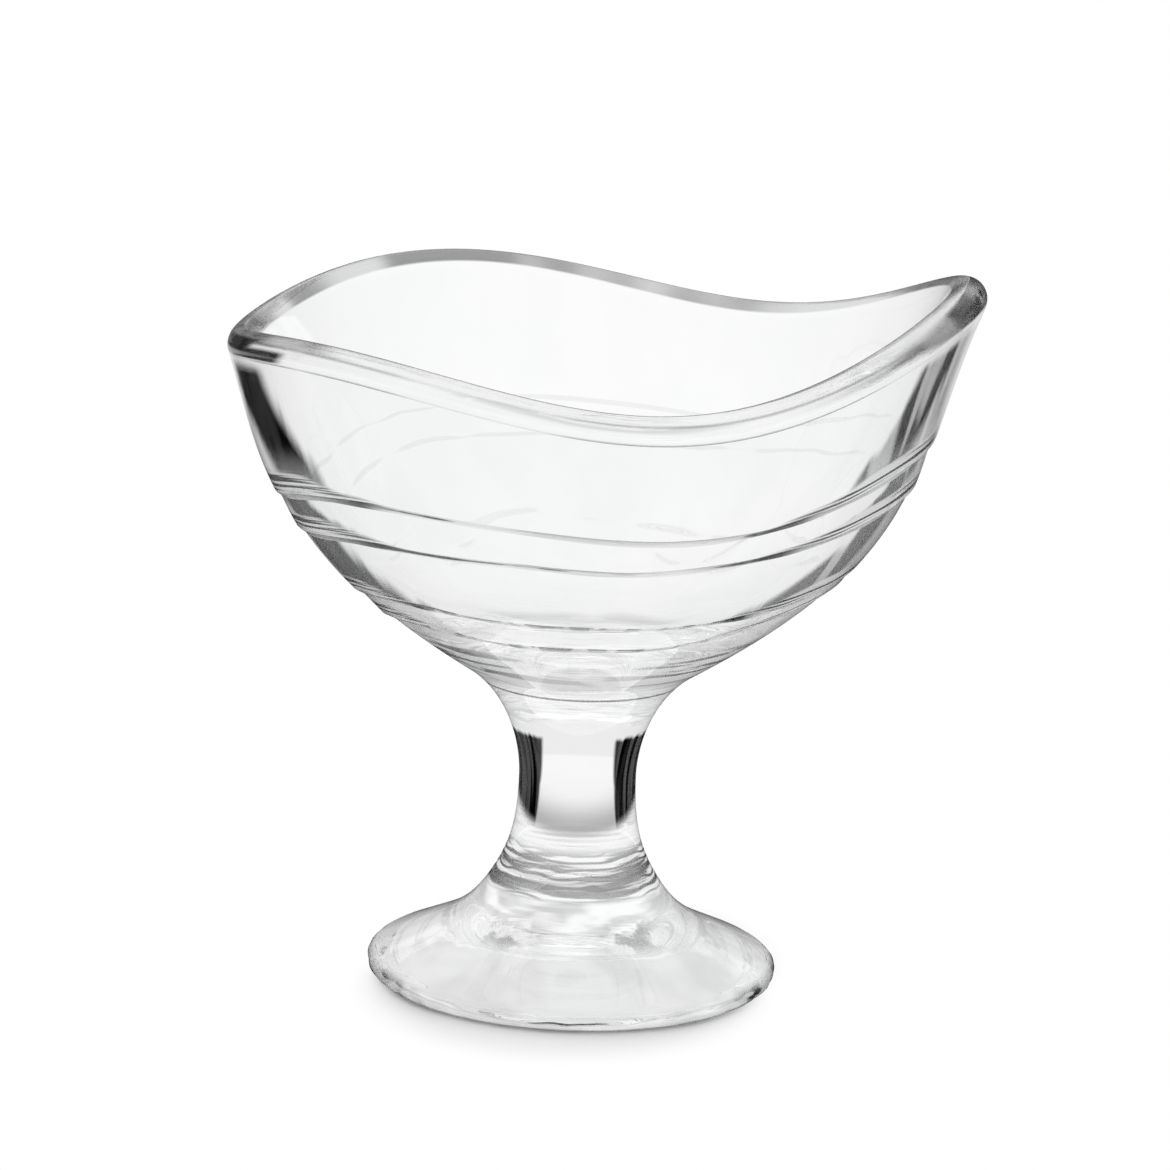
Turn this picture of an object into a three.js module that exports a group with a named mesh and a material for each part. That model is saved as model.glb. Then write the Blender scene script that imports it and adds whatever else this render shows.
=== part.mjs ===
// Ice cream glass: a footed dessert dish in clear pressed glass. A bowl with a wavy, fully rounded lip and
// four wavy terraces stands on a waisted stem and a low conical foot with a domed hollow underneath.
// Millimetres, +Z up. The origin is on the axis of the glass, in the plane that the foot stands on.
// +X points to the high crest of the rim, so the glass is its own mirror image across the XZ plane.
import * as THREE from 'three';

// Foot, measured up from the standing plane
const FOOT_RADIUS = 33;
const FOOT_HEIGHT = 15;
const FOOT_EDGE_HEIGHT = 4.2;
const FOOT_EDGE_ROUND = 2.6;
const FOOT_SEAT_WIDTH = 2.5;
const FOOT_HOLLOW_DEPTH = 8;
const FOOT_CONE_SLOPE = 0.45;
const FOOT_CONE_SWEEP = 9;
const FOOT_NECK_SWEEP = 5.5;

// Stem, measured up from the foot's joint
const STEM_HEIGHT = 37;
const STEM_BASE_RADIUS = 14.5;
const STEM_BASE_SLOPE = 0.68;
const STEM_BASE_SWEEP = 5.5;
const STEM_WAIST_RADIUS = 9.4;
const STEM_WAIST_HEIGHT = 18.4;
const STEM_WAIST_SWEEP_DOWN = 8.8;
const STEM_WAIST_SWEEP_UP = 3;
const STEM_TOP_RADIUS = 19.3;
const STEM_TOP_SLOPE = 1.6;
const STEM_TOP_SWEEP = 5.6;

// Bowl, measured up from the stem's joint; the radius is the outside of the wall at the high crest
const BOWL_RADIUS = 62;
const BOWL_BASE_SWEEP = 23.7;
const BOWL_LIP_SLOPE = 0.42;
const BOWL_LIP_SWEEP = 25.7;
const BOWL_FLOOR_THICKNESS = 5.9;
const BOWL_FLOOR_SWEEP = 44.4;
const BOWL_INSIDE_SLOPE = 0.34;
const BOWL_INSIDE_SWEEP = 32.5;
const LIP_THICKNESS = 6.2;

// Wavy lines around the bowl: the mean height, and how far one side, two sides and three lobes rise above it
const RIM = { height: 53.2, tilt: 2.2, oval: 3.0, lobe: 3.8 };
const FIRST_TERRACE = { height: 11.2, tilt: 2.8, oval: 1.2, lobe: 1.4 };
const SECOND_TERRACE = { height: 15.0, tilt: 2.1, oval: 0.5, lobe: 1.1 };
const THIRD_TERRACE = { height: 26.5, tilt: 3.5, oval: 0.5, lobe: 1.9 };
const FOURTH_TERRACE = { height: 32.6, tilt: 3.7, oval: 0.7, lobe: 2.5 };
const TERRACES = [FIRST_TERRACE, SECOND_TERRACE, THIRD_TERRACE, FOURTH_TERRACE];
const TERRACE_DEPTH = 0.35;
const TERRACE_RISE = 1.2;

// Facets
const AROUND = 64;
const BAND_ROWS = [3, 2, 4, 3, 5];
const LIP_ROWS = 8;
const INSIDE_ROWS = 14;
const CURVE_ROWS = 8;
const EDGE_ROWS = 7;
const HOLLOW_ROWS = 7;
const BISECTIONS = 40;

// Glass
const GLASS_COLOUR = 0xe6ebea;
const GLASS_ROUGHNESS = 0.03;
const GLASS_OPACITY = 0.35;

function glass() {
  return new THREE.MeshStandardMaterial({
    color: GLASS_COLOUR,
    roughness: GLASS_ROUGHNESS,
    metalness: 0,
    transparent: true,
    opacity: GLASS_OPACITY,
  });
}

function point(radius, height) {
  return new THREE.Vector2(radius, height);
}

// A curve between two outline points that leaves and arrives along the given handles.
function sweep(start, startHandle, endHandle, end) {
  return new THREE.CubicBezierCurve(start, start.clone().add(startHandle), end.clone().sub(endHandle), end);
}

// Joins outline curves into one list of points, without repeating the points where they meet.
function outline(...stretches) {
  const points = [];
  for (const stretch of stretches) {
    for (const next of stretch) {
      const last = points[points.length - 1];
      if (!last || last.distanceTo(next) > 1e-6) {
        points.push(next);
      }
    }
  }
  return points;
}

// A solid of revolution about +Z from an outline that starts and ends on the axis.
function revolve(points) {
  const geometry = new THREE.LatheGeometry(points, AROUND);
  geometry.rotateX(Math.PI / 2);
  return geometry;
}

// A closed solid from sections that change with the angle. Each starts and ends on the axis.
function loft(sectionAt) {
  const sections = [];
  for (let column = 0; column < AROUND; column += 1) {
    sections.push(sectionAt((2 * Math.PI * column) / AROUND));
  }
  const rings = sections[0].length - 2;
  const positions = [0, 0, sections[0][0].y];
  for (let ring = 1; ring <= rings; ring += 1) {
    for (let column = 0; column < AROUND; column += 1) {
      const angle = (2 * Math.PI * column) / AROUND;
      const { x: radius, y: height } = sections[column][ring];
      positions.push(radius * Math.cos(angle), radius * Math.sin(angle), height);
    }
  }
  positions.push(0, 0, sections[0][rings + 1].y);
  const vertex = (ring, column) => 1 + ring * AROUND + (column % AROUND);
  const topPole = 1 + rings * AROUND;
  const index = [];
  for (let column = 0; column < AROUND; column += 1) {
    index.push(0, vertex(0, column + 1), vertex(0, column));
    for (let ring = 0; ring < rings - 1; ring += 1) {
      index.push(vertex(ring, column), vertex(ring, column + 1), vertex(ring + 1, column + 1));
      index.push(vertex(ring, column), vertex(ring + 1, column + 1), vertex(ring + 1, column));
    }
    index.push(topPole, vertex(rings - 1, column), vertex(rings - 1, column + 1));
  }
  const geometry = new THREE.BufferGeometry();
  geometry.setAttribute('position', new THREE.Float32BufferAttribute(positions, 3));
  geometry.setIndex(index);
  geometry.computeVertexNormals();
  return geometry;
}

// The foot: hollow, flat standing ring, rounded edge, and a cone that sweeps up into the stem.
function footGeometry() {
  const edgeRise = FOOT_EDGE_HEIGHT / 2;
  const edgeCentre = FOOT_RADIUS - FOOT_EDGE_ROUND;
  const edgeEnd = Math.atan2(edgeRise, FOOT_EDGE_ROUND * FOOT_CONE_SLOPE);
  const hollowRadius = edgeCentre - FOOT_SEAT_WIDTH;
  const hollow = new THREE.CubicBezierCurve(
    point(0, FOOT_HOLLOW_DEPTH),
    point(hollowRadius / 3, FOOT_HOLLOW_DEPTH),
    point((hollowRadius * 2) / 3, FOOT_HOLLOW_DEPTH),
    point(hollowRadius, 0),
  );
  const edge = new THREE.EllipseCurve(
    edgeCentre,
    edgeRise,
    FOOT_EDGE_ROUND,
    edgeRise,
    -Math.PI / 2,
    edgeEnd,
  );
  const edgePoints = edge.getPoints(EDGE_ROWS);
  const cone = sweep(
    edgePoints[EDGE_ROWS],
    point(-FOOT_CONE_SWEEP, FOOT_CONE_SWEEP * FOOT_CONE_SLOPE),
    point(-FOOT_NECK_SWEEP * STEM_BASE_SLOPE, FOOT_NECK_SWEEP),
    point(STEM_BASE_RADIUS, FOOT_HEIGHT),
  );
  return revolve(
    outline(
      hollow.getPoints(HOLLOW_ROWS),
      [point(edgeCentre, 0)],
      edgePoints,
      cone.getPoints(CURVE_ROWS),
      [point(0, FOOT_HEIGHT)],
    ),
  );
}

// The stem: flared from the foot into a waist, and out again under the bowl.
function stemGeometry() {
  const waist = point(STEM_WAIST_RADIUS, STEM_WAIST_HEIGHT);
  const lower = sweep(
    point(STEM_BASE_RADIUS, 0),
    point(-STEM_BASE_SWEEP * STEM_BASE_SLOPE, STEM_BASE_SWEEP),
    point(0, STEM_WAIST_SWEEP_DOWN),
    waist,
  );
  const upper = sweep(
    waist,
    point(0, STEM_WAIST_SWEEP_UP),
    point(STEM_TOP_SWEEP * STEM_TOP_SLOPE, STEM_TOP_SWEEP),
    point(STEM_TOP_RADIUS, STEM_HEIGHT),
  );
  return revolve(
    outline(
      [point(0, 0)],
      lower.getPoints(CURVE_ROWS),
      upper.getPoints(CURVE_ROWS),
      [point(0, STEM_HEIGHT)],
    ),
  );
}

// Height of a wavy line at an angle around the glass.
function lineHeight(line, angle) {
  const rise = line.tilt * Math.cos(angle) + line.oval * Math.cos(2 * angle) + line.lobe * Math.cos(3 * angle);
  return line.height + rise;
}

// Share of the way along a rising curve where it reaches a height.
function shareAtHeight(curve, height) {
  let low = 0;
  let high = 1;
  for (let step = 0; step < BISECTIONS; step += 1) {
    const middle = (low + high) / 2;
    if (curve.getPoint(middle).y < height) {
      low = middle;
    } else {
      high = middle;
    }
  }
  return low;
}

const crestHeight = lineHeight(RIM, 0);
const lipLean = Math.atan(BOWL_LIP_SLOPE);
const insideTop = point(
  BOWL_RADIUS - LIP_THICKNESS * Math.cos(lipLean),
  crestHeight + LIP_THICKNESS * Math.sin(lipLean),
);
const outsideWall = sweep(
  point(STEM_TOP_RADIUS, 0),
  point(BOWL_BASE_SWEEP * STEM_TOP_SLOPE, BOWL_BASE_SWEEP),
  point(BOWL_LIP_SWEEP * BOWL_LIP_SLOPE, BOWL_LIP_SWEEP),
  point(BOWL_RADIUS, crestHeight),
);
const insideWall = sweep(
  point(0, BOWL_FLOOR_THICKNESS),
  point(BOWL_FLOOR_SWEEP, 0),
  point(BOWL_INSIDE_SWEEP * BOWL_INSIDE_SLOPE, BOWL_INSIDE_SWEEP),
  insideTop,
);

// A point of the outside wall, pushed out along the wall's normal.
function outsidePoint(height, offset) {
  const share = shareAtHeight(outsideWall, height);
  const along = outsideWall.getTangent(share);
  return outsideWall.getPoint(share).add(point(along.y, -along.x).multiplyScalar(offset));
}

// The outside wall from the joint to the lip. Above each terrace line the wall stands proud, and below it
// the wall is set back, so every band leans in a little from its foot to the line above it.
function outsideSection(angle, lipStart) {
  const stations = [{ height: 0, offset: 0 }];
  for (const terrace of TERRACES) {
    const height = lineHeight(terrace, angle);
    stations.push({ height: height - TERRACE_RISE / 2, offset: -TERRACE_DEPTH / 2 });
    stations.push({ height: height + TERRACE_RISE / 2, offset: TERRACE_DEPTH / 2 });
  }
  stations.push({ height: lipStart, offset: 0 });
  const section = [];
  BAND_ROWS.forEach((rows, band) => {
    const foot = stations[2 * band];
    const head = stations[2 * band + 1];
    for (let row = 0; row <= rows; row += 1) {
      const height = THREE.MathUtils.lerp(foot.height, head.height, row / rows);
      const offset = THREE.MathUtils.lerp(foot.offset, head.offset, row / rows);
      section.push(outsidePoint(height, offset));
    }
  });
  return section;
}

// The bowl: outside wall, half-round lip and inside wall at one angle.
function bowlSection(angle) {
  const rimHeight = lineHeight(RIM, angle);
  const halfLean = (LIP_THICKNESS / 2) * Math.sin(lipLean);
  const outside = outsideSection(angle, rimHeight - halfLean);
  const insideShare = shareAtHeight(insideWall, rimHeight + halfLean);
  const outsideEnd = outside[outside.length - 1];
  const insideEnd = insideWall.getPoint(insideShare);
  const middle = outsideEnd.clone().add(insideEnd).multiplyScalar(0.5);
  const across = outsideEnd.clone().sub(insideEnd).multiplyScalar(0.5);
  const up = point(-across.y, across.x);
  const section = [point(0, 0), ...outside];
  for (let row = 1; row < LIP_ROWS; row += 1) {
    const turn = (Math.PI * row) / LIP_ROWS;
    const around = across.clone().multiplyScalar(Math.cos(turn)).addScaledVector(up, Math.sin(turn));
    section.push(around.add(middle));
  }
  for (let row = 0; row <= INSIDE_ROWS; row += 1) {
    section.push(insideWall.getPoint(insideShare * (1 - row / INSIDE_ROWS)));
  }
  return section;
}

function part(name, geometry, height) {
  const mesh = new THREE.Mesh(geometry, glass());
  mesh.name = name;
  mesh.position.z = height;
  return mesh;
}

const iceCreamGlass = new THREE.Group();
iceCreamGlass.add(part('foot', footGeometry(), 0));
iceCreamGlass.add(part('stem', stemGeometry(), FOOT_HEIGHT));
iceCreamGlass.add(part('bowl', loft(bowlSection), FOOT_HEIGHT + STEM_HEIGHT));

export default iceCreamGlass;
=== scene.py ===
import math

import bpy
from mathutils import Matrix, Vector, noise


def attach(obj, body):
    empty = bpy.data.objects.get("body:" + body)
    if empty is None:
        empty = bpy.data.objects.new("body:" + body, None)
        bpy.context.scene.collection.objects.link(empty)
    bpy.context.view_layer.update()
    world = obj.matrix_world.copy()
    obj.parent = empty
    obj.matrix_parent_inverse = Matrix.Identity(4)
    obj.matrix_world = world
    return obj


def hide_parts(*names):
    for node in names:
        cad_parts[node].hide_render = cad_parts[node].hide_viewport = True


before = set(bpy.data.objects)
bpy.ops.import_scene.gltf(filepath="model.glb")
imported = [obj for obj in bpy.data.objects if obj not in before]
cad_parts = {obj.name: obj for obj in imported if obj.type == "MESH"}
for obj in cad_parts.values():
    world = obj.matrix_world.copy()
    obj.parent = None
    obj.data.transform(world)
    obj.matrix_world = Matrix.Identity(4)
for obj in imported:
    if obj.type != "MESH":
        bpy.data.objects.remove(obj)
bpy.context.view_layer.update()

MM = 0.001

# Foot
FOOT_RADIUS = 33
FOOT_HEIGHT = 15
FOOT_EDGE_HEIGHT = 4.2
FOOT_EDGE_ROUND = 2.6
FOOT_SEAT_WIDTH = 2.5
FOOT_HOLLOW_DEPTH = 8
FOOT_CONE_SLOPE = 0.45
FOOT_CONE_SWEEP = 9
FOOT_NECK_SWEEP = 5.5

# Stem, from the foot's joint up
STEM_HEIGHT = 37
STEM_BASE_RADIUS = 14.5
STEM_BASE_SLOPE = 0.68
STEM_BASE_SWEEP = 5.5
STEM_WAIST_RADIUS = 9.4
STEM_WAIST_HEIGHT = 18.4
STEM_WAIST_SWEEP_DOWN = 8.8
STEM_WAIST_SWEEP_UP = 3
STEM_TOP_RADIUS = 19.3
STEM_TOP_SLOPE = 1.6
STEM_TOP_SWEEP = 5.6

# Bowl, from the stem's joint up
BOWL_BASE = FOOT_HEIGHT + STEM_HEIGHT
BOWL_RADIUS = 62
BOWL_BASE_SWEEP = 23.7
BOWL_LIP_SLOPE = 0.42
BOWL_LIP_SWEEP = 25.7
BOWL_FLOOR_THICKNESS = 5.9
BOWL_FLOOR_SWEEP = 44.4
BOWL_INSIDE_SLOPE = 0.34
BOWL_INSIDE_SWEEP = 32.5
LIP_THICKNESS = 6.2

# Wavy lines around the bowl: mean height, one-sided tilt, two-sided oval and three-sided lobe
RIM = (53.2, 2.2, 3.0, 3.8)
TERRACES = (
    (11.2, 2.8, 1.2, 1.4),
    (15.0, 2.1, 0.5, 1.1),
    (26.5, 3.5, 0.5, 1.9),
    (32.6, 3.7, 0.7, 2.5),
)

# Terraces: how far the wall steps out, over what rise, and how unevenly
TERRACE_DEPTH = 0.35
TERRACE_RISE = 1.2
TERRACE_WANDER = 0.8
TERRACE_WANDER_PITCH = 12
TERRACE_UNEVEN = 1.2

# Ripples of the pressed surface: height and pitch
HOLLOW_RIPPLE = 0.2
HOLLOW_RIPPLE_PITCH = 9
EDGE_RIPPLE = 0.25
EDGE_RIPPLE_PITCH = 3
RING_RIPPLE = 0.03
RING_RIPPLE_PITCH = 1.3
RING_RIPPLE_TOP = 9

# Mesh rows
AROUND = 192
WALL_ROWS = 24
STEP_ROWS = 10
LIP_ROWS = 24
INSIDE_ROWS = 72
CURVE_ROWS = 40
RING_ROWS = 120
EDGE_ROWS = 20
HOLLOW_ROWS = 48
SEAT_ROWS = 6

# Fineness of the search along a curve, of its tangent and of what counts as on the axis
BISECTIONS = 40
TANGENT_STEP = 1e-4
ON_AXIS = 1e-6

# Marks on each row of a mesh, which the materials read to place painted shade in the glass
MARKS = ("tone", "band_height", "edge", "fan", "lip_turn")
CLEAR_MARK = (1, 0, 0, 0, 0)
INSIDE_MARK = (1, 1, 0, 0, 1)
# Painted shade: grey steps and dark lines at the terraces, a grey inner rim, a line on the lip, and
# how dark the edges of the bands and of the foot grow
STEP_TONE = 0.85
LINE_TONE = 0.45
LINE_SHARPNESS = 4
BAND_EDGES = (0.1, 0.2, 0.8, 0.8, 1)
BAND_LOWS = (0.7, 0.7, 0.75, 0, 0)
TOP_EDGE_FADE = (0.9, 1)
FAN_HEIGHT = 3.5
RIM_TONE = 0.38
LIP_LINE_TONE = 0.6
LIP_LINE_ROW = 8
LIP_SHADE_START = (0.06, 0.12)
LIP_SHADE_END = (0.4, 0.48)
LIP_INWARD = (0.58, 0.7)
INWARD_SHADE = 0.3
FOOT_SHADE_START = (0, 0.2)
FOOT_SHADE_END = (0.6, 1)

# Streaks, which mostly break up the painted shade: how many to a radian, how many to a unit of rise,
# and their detail
STREAK_RANGE = (0.35, 0.65)
CRESCENT_STREAKS = (16, 25, 1)
CRESCENT_WAVES = (9, 30, 3)
FAN_STREAKS = (1.5, 9, 1)
SHEEN_STREAKS = (4, 250, 1)
BASE_STREAKS = (1.5, 900, 2)
# Streaks that make the painted shade of the terrace lines uneven
LINE_SHADE_STREAKS = (2.5, 20, 1)
DASH_STREAKS = (12, 300, 2)
STEM_STREAKS = (9, 25, 3)
RING_WANDER_STREAKS = (1.2, 200, 1)
RING_BREAK_STREAKS = (0.8, 900, 3)
BLOTCH_STREAKS = (4, 450, 2)
CRUMPLE_STREAKS = (5, 450, 3)
CLOUD_STREAKS = (2.5, 150, 2)

# Side of the rim's crest: the share of the bowl's radius at which it is reached
CREST_REACH = 0.5

# Crescents of painted shade on the bowl: at the bottom and top of a band, or on the low side and the
# crest's side
CRESCENT_CENTRE = (0.68, 0.82)
CRESCENT_WOBBLE = (-0.015, 0.015)
CORE_START = (-0.21, -0.12)
CORE_FULL = (-0.13, -0.06)
FRINGE_START = -0.21
FRINGE_FULL = (-0.06, -0.17)
FRINGE_DARK = (0.6, 0.9)
THINNING_START = (0.04, -0.08)
THINNING_WIDTH = 0.1
THINNED_DARK = (0, 0.4)
CRESCENT_WEAKEST = (0.97, 0.5)
CRESCENT_STREAK_FULL = 0.6
CRESCENT_FOOT = (0.05, 0.4)
CRESCENT_FOOT_DARK = 0.7

# Fans of painted dark stripes above the terraces
STRIPE_RANGE = (0.2, 0.8)
STRIPE_DARK = (0.15, 0.85)
FAN_SIDE_GAIN = 2
FAN_CREST_GAIN = 0.1
FAN_NEAR_GAIN = 0.6
FAN_REACH = (1, 1.2)
FAN_FADE = (0.02, 0.2)

# Painted shade on the lip: its crown, and the front of its low end
CROWN_CREST_LEAD = 0.13
CROWN_SIDE = (0.22, 0.5)
CROWN_DARK = (0.75, 0.95)
CROWN_TURN = (0.3, 0.6)
CROWN_CREST_START = (0.17, 0.05)
CROWN_LOW_START = 0.26
CROWN_WIDTH = 0.1
CROWN_SHEEN = (0.6, 1)
LIP_FRONT_START = (0.02, 0.06)
LIP_FRONT_END = (0.2, 0.28)
LOW_END_TURN = (0.46, 0.52)
LOW_END_DARK = 0.95

# Painted dark strokes round the bowl's base
STROKES_START = (52.3, 53.5)
STROKES_END = (57.5, 62.5)
STROKES_OUTSIDE = (0.1, 0.9)
STROKE_RANGE = (0.45, 0.85)
STROKE_TURN = (0, 0.3)
STROKE_DARK = (0.3, 0.75)

# Painted dark lines on the terraces: powers of their tone, and the height below which they are dashed
LINE_SHADE_POWERS = (0.3, 1.2)
DASH_RANGE = (0.3, 0.7)
DASH_POWERS = (0.2, 2.4)
DASHES_FADE = (68, 74)

# Painted shade on the stem: dark bands down its sides, the cup that closes them, and the line at the
# neck
STEM_BAND_LEAN = 0.2
STEM_BAND_SIDE = (0.235, 0.275)
STEM_BAND_RAGGED = 0.02
STEM_BAND_TOP = (-0.36, -0.32)
STEM_BAND_FLARE = 0.13
STEM_BAND_BOTTOM = (0.13, 0.2)
STEM_BAND_DARK = (0.9, 1)
CUP_REACH = (0, 0.14)
CUP_DARK = 0.3
NECK_LINE_HEIGHT = 49.6
NECK_LINE_WIDTH = (0.1, 0.3)
NECK_LINE_TONE = 0.3

# Painted dark rings round the bottom of the stem
RINGS_START = (15.2, 16.5)
RINGS_END = (21.5, 24.5)
RING_LINE_PITCH = 1.15
RING_LINE_FULL = 0.9
RING_WANDER_TURN = 5
RING_BREAK_RANGE = (0.3, 0.9)
RING_DARK = (0.55, 0.85)

# Foot: painted shade on its edge and in the patches beside the stem, and faint clouds
BLOTCH_RANGE = (0.25, 0.75)
BLOTCH_DARK = (0.35, 0.95)
FOOT_SIDE_TURN = (0.3, 0.62)
FOOT_SIDE_DARK = (0.08, 1)
PATCH_TURN_START = (0.04, 0.16)
PATCH_TURN_END = (0.25, 0.5)
PATCH_START = (8.2, 10.4)
PATCH_END = (11.6, 13.8)
CRUMPLE_RANGE = (0.3, 0.8)
CRUMPLE_DARK = 0.45
FOOT_CLOUD_TONES = (0.88, 1)

# Glass surface: noise scales per metre, wave height in millimetres
GLASS_IOR = 1.5
GLASS_TINT = (0.98, 0.992, 0.987, 1)
TINT_RANGE = (0.3, 0.7)
WAVE_SCALE = 110
WAVE_DETAIL = 1
WAVE_HEIGHT = 0.06
CLOUD_SCALE = 45
HAZE = 0.02
HAZE_RANGE = (0.4, 0.7)

# Floor, and the contact shadow past which the camera sees plain white
FLOOR_SIZE = 6000
FLOOR_GAP = 0.1
FLOOR_WHITE = 0.98
FLOOR_LIFT = 0.08
SHADOW_FORWARD = 10
SHADOW_SQUEEZE = 1.15
SHADOW_FADE = (28, 40)

# Tones that the floor glows with to rays that come by way of the glass, and the distances where they
# change:
# brighter under the foot, a painted shadow round it, and dark painted tones where the glass mirrors
# the floor
UNDER_TONE = 0.82
NEAR_TONE = 0.65
NEAR_REACH = (30, 45)
BRIGHT_TONE = 0.95
BRIGHT_REACH = (45, 100)
OPEN_REACH = (100, 200)
CLEAR_TONE = 0.88
CLEAR_REACH = (700, 2800)
SIDE_TONE = 0.9
SIDE_REACH = (60, 90)
MIRROR_TONE = 0.02
MIRROR_FAR_TONE = 0.7
MIRROR_FAR_REACH = (330, 430)
HORIZON_TONE = 0.07
HORIZON_REACH = (500, 700)
BLEND_AFTER = 2
BLEND_TONE = 0.88

# Half a step, which tells whole numbers of bounces apart
HALF_STEP = 0.5

# Surroundings, the light that passes the glass to the floor, and the lamp
SURROUND_SCALE = 3
SURROUND_RANGE = (0.4, 0.6)
SURROUND_TONES = (0.72, 1)
CEILING_TONE = 0.8
CEILING_RANGE = (0.15, 0.45)
SHADE_TONE = 0.2
LAMP_SIZE = 1600
LAMP_POWER = 1.5
LAMP_PLACE = (-100, 0, 1400)

# Camera, as the photograph was taken; angles in degrees, clipping in metres
CAMERA_AZIMUTH = 7.6
CAMERA_ELEVATION = 13.8
CAMERA_ROLL = 2.1
CAMERA_DISTANCE = 900
CAMERA_LENS = 172.96
CAMERA_SENSOR = 36
CAMERA_CLIP_START = 0.01
CAMERA_CLIP_END = 100
SIGHTED_HEIGHT = 55
AIM_UP = 9.37
AIM_RIGHT = 0.43

# Bounces within the thick glass, and passes through its joints
GLASS_BOUNCES = 96
JOINT_BOUNCES = 32


def bezier(start, start_handle, end_handle, end, share):
    """A point of the curve that leaves its start and reaches its end along these handles."""
    back = 1 - share
    bend_in = (start + start_handle) * (3 * back * back * share)
    bend_out = (end - end_handle) * (3 * back * share * share)
    return start * back**3 + bend_in + bend_out + end * share**3


def shares(rows):
    """Steps from 0 to 1, closer together towards both ends."""
    return [(1 - math.cos(math.pi * row / rows)) / 2 for row in range(rows + 1)]


def lerp(start, end, share):
    return start + (end - start) * share


def ease(share):
    """Goes from 0 to 1 with a level start and end."""
    return share * share * (3 - 2 * share)


def step_up(value, low, high):
    """Goes smoothly from 0 to 1 while a value goes from low to high."""
    return ease(min(1, max(0, (value - low) / (high - low))))


def line_height(line, angle):
    mean, tilt, oval, lobe = line
    return mean + tilt * math.cos(angle) + oval * math.cos(2 * angle) + lobe * math.cos(3 * angle)


def share_at_height(curve, height):
    """How far along a rising curve it reaches a height."""
    low, high = 0.0, 1.0
    for _ in range(BISECTIONS):
        middle = (low + high) / 2
        if curve(middle).y < height:
            low = middle
        else:
            high = middle
    return low


def ripple(radius, angle, height, pitch):
    """An uneven ripple, mostly between -0.5 and 0.5, at a point of the glass."""
    place = Vector((radius * math.cos(angle), radius * math.sin(angle), height))
    return noise.noise(place / pitch)


def foot_section(angle):
    """The foot from the middle of its hollow, round its edge and up to the joint with the stem."""
    edge_rise = FOOT_EDGE_HEIGHT / 2
    edge_centre = FOOT_RADIUS - FOOT_EDGE_ROUND
    edge_end = math.atan2(edge_rise, FOOT_EDGE_ROUND * FOOT_CONE_SLOPE)
    hollow_radius = edge_centre - FOOT_SEAT_WIDTH
    section = []
    for share in shares(HOLLOW_ROWS):
        radius = hollow_radius * share
        height = FOOT_HOLLOW_DEPTH * (1 - share**3)
        height += HOLLOW_RIPPLE * ease(1 - share) * ripple(radius, angle, height, HOLLOW_RIPPLE_PITCH)
        section.append(Vector((radius, height)))
    for row in range(1, SEAT_ROWS + 1):
        section.append(Vector((lerp(hollow_radius, edge_centre, row / SEAT_ROWS), 0)))
    for row in range(1, EDGE_ROWS + 1):
        turn = lerp(-math.pi / 2, edge_end, row / EDGE_ROWS)
        radius = edge_centre + FOOT_EDGE_ROUND * math.cos(turn)
        height = edge_rise * (1 + math.sin(turn))
        radius += EDGE_RIPPLE * math.cos(turn) * ripple(radius, angle, height, EDGE_RIPPLE_PITCH)
        section.append(Vector((radius, height)))
    cone_start = section[-1]
    for share in shares(CURVE_ROWS)[1:]:
        section.append(
            bezier(
                cone_start,
                Vector((-FOOT_CONE_SWEEP, FOOT_CONE_SWEEP * FOOT_CONE_SLOPE)),
                Vector((-FOOT_NECK_SWEEP * STEM_BASE_SLOPE, FOOT_NECK_SWEEP)),
                Vector((STEM_BASE_RADIUS, FOOT_HEIGHT)),
                share,
            )
        )
    return section


def foot_marks():
    """Marks for each row of the foot's section: only its rounded edge gets painted shade."""
    marks = [CLEAR_MARK] * (HOLLOW_ROWS + 1 + SEAT_ROWS)
    for row in range(1, EDGE_ROWS + 1):
        share = row / EDGE_ROWS
        edge = step_up(share, *FOOT_SHADE_START) * (1 - step_up(share, *FOOT_SHADE_END))
        marks.append((1, 0, edge, 0, 0))
    marks += [CLEAR_MARK] * CURVE_ROWS
    return marks


def stem_section(angle):
    """The stem from the joint with the foot, through its waist, to the joint with the bowl."""
    waist = Vector((STEM_WAIST_RADIUS, STEM_WAIST_HEIGHT))
    section = []
    for share in shares(RING_ROWS):
        point = bezier(
            Vector((STEM_BASE_RADIUS, 0)),
            Vector((-STEM_BASE_SWEEP * STEM_BASE_SLOPE, STEM_BASE_SWEEP)),
            Vector((0, STEM_WAIST_SWEEP_DOWN)),
            waist,
            share,
        )
        fade = math.sin(math.pi * min(1, point.y / RING_RIPPLE_TOP)) ** 2
        uneven = ripple(point.x, angle, point.y, STEM_WAIST_RADIUS)
        wave = math.cos(2 * math.pi * (point.y / RING_RIPPLE_PITCH + uneven))
        section.append(point + Vector((RING_RIPPLE * fade * wave, 0)))
    for share in shares(CURVE_ROWS)[1:]:
        section.append(
            bezier(
                waist,
                Vector((0, STEM_WAIST_SWEEP_UP)),
                Vector((STEM_TOP_SWEEP * STEM_TOP_SLOPE, STEM_TOP_SWEEP)),
                Vector((STEM_TOP_RADIUS, STEM_HEIGHT)),
                share,
            )
        )
    return section


LIP_LEAN = math.atan(BOWL_LIP_SLOPE)
CREST_HEIGHT = line_height(RIM, 0)
INSIDE_TOP = Vector(
    (
        BOWL_RADIUS - LIP_THICKNESS * math.cos(LIP_LEAN),
        CREST_HEIGHT + LIP_THICKNESS * math.sin(LIP_LEAN),
    )
)


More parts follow.
